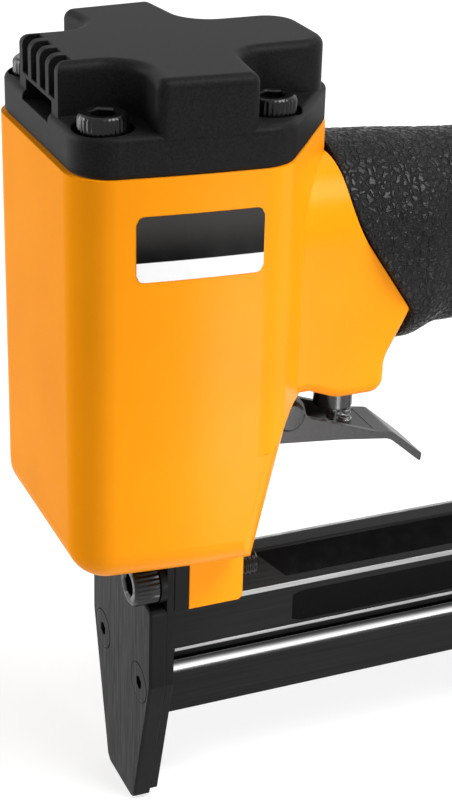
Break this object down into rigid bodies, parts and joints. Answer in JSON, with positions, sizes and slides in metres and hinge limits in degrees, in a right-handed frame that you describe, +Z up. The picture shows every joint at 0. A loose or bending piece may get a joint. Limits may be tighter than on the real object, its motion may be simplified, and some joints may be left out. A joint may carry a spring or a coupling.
{
  "type": "pneumatic stapler",
  "caption": "Compressed-air fine-wire stapler: orange cast head and handle, black exhaust cap and grip, narrow nose, trigger, sliding bottom-load magazine.",
  "frame": {"origin": "where a staple leaves the nose, on the drive line", "axes": "+X back along the magazine and the handle, +Z up the drive line, Y across"},
  "size_m": [0.2309, 0.0524, 0.152],
  "materials": {
    "alloy": "machined alloy",
    "black_anodised": "black anodised extrusion",
    "black_cast": "matt black fine-grained coating",
    "black_steel": "black oxide steel",
    "brass": "turned and sintered brass",
    "bright_steel": "polished steel",
    "bumper_rubber": "amber polyurethane",
    "gasket": "fibre gasket",
    "grip_rubber": "leather-grained black rubber",
    "orange_paint": "smooth satin orange paint on a die casting",
    "seal_rubber": "smooth black nitrile",
    "spring_steel": "oiled spring steel",
    "valve_plastic": "natural acetal"
  },
  "bodies": {
    "tool_frame": {"body_casting": "orange_paint", "exhaust_cap": "black_cast", "cap_gasket": "gasket", "cap_screws": "black_steel", "grip_sleeve": "grip_rubber", "cylinder_sleeve": "alloy", "cylinder_oring": "seal_rubber", "bumper": "bumper_rubber", "driver_seal": "seal_rubber", "head_valve_spring": "spring_steel", "nose_plate": "black_steel", "drive_guide": "black_steel", "nose_block": "black_steel", "nose_plate_screws": "black_steel", "nose_screws": "black_steel", "nose_washers": "black_steel", "fixed_magazine": "black_anodised", "rear_catch": "black_steel", "catch_screw": "black_steel", "handle_gasket": "gasket", "magazine_arm": "black_cast", "end_cap": "black_cast", "end_cap_screws": "black_steel", "inlet_filter": "brass", "foot_screw": "black_steel", "air_plug": "bright_steel", "trigger_bracket": "black_steel", "trigger_pin": "black_steel", "trigger_pin_clip": "black_steel", "trigger_valve_body": "black_steel", "valve_spring": "spring_steel", "trigger_spring": "spring_steel"},
    "driving_piston": {"piston": "alloy", "piston_oring": "seal_rubber", "driver_blade": "bright_steel", "driver_pin": "bright_steel"},
    "firing_valve": {"head_valve": "valve_plastic", "head_valve_oring": "seal_rubber"},
    "trigger_lever": {"trigger": "black_steel", "trigger_spring_washer": "bright_steel"},
    "trigger_stem": {"valve_stem": "bright_steel"},
    "magazine_slide": {"slide_channel": "black_anodised", "slide_liner": "bright_steel", "staple_rail": "bright_steel", "slide_end_block": "black_cast", "slide_screws": "black_steel", "rod_stop": "black_steel", "pusher_rod": "bright_steel", "latch_pin": "bright_steel", "latch_spring": "spring_steel", "pusher_spring": "spring_steel"},
    "latch": {"latch_lever": "black_steel"},
    "staple_pusher": {"pusher": "bright_steel"}
  },
  "joints": [
    {"name": "trigger_pull", "type": "hinge", "parent": "tool_frame", "child": "trigger_lever", "pos_m": [0.0286, 0, 0.0794], "axis": [0, -1, 0], "range_deg": [0, 11], "stiffness_Nm_per_rad": 0.05, "springref_deg": -11.46, "deforming": ["trigger_spring"]},
    {"name": "valve_stem_lift", "type": "slide", "parent": "tool_frame", "child": "trigger_stem", "axis": [0, 0, 1], "range_m": [0, 0.0022], "deforming": ["valve_spring"]},
    {"name": "piston_drive", "type": "slide", "parent": "tool_frame", "child": "driving_piston", "axis": [0, 0, -1], "range_m": [0, 0.048]},
    {"name": "head_valve_lift", "type": "slide", "parent": "tool_frame", "child": "firing_valve", "axis": [0, 0, 1], "range_m": [0, 0.0024], "stiffness_N_per_m": 1500, "springref_m": -0.002, "deforming": ["head_valve_spring"]},
    {"name": "magazine_open", "type": "slide", "parent": "tool_frame", "child": "magazine_slide", "axis": [1, 0, 0], "range_m": [0, 0.1]},
    {"name": "latch_press", "type": "hinge", "parent": "magazine_slide", "child": "latch", "pos_m": [0.1885, 0, 0.0467], "axis": [0, 1, 0], "range_deg": [0, 14], "stiffness_Nm_per_rad": 0.1, "springref_deg": -11.46, "deforming": ["latch_spring"]},
    {"name": "pusher_travel", "type": "slide", "parent": "magazine_slide", "child": "staple_pusher", "axis": [1, 0, 0], "range_m": [0, 0.11], "stiffness_N_per_m": 20, "springref_m": -0.2, "deforming": ["pusher_spring"]}
  ],
  "couplings": [
    {"joint": "valve_stem_lift", "follows": "trigger_pull", "m_per_rad": 0.0114}
  ]
}
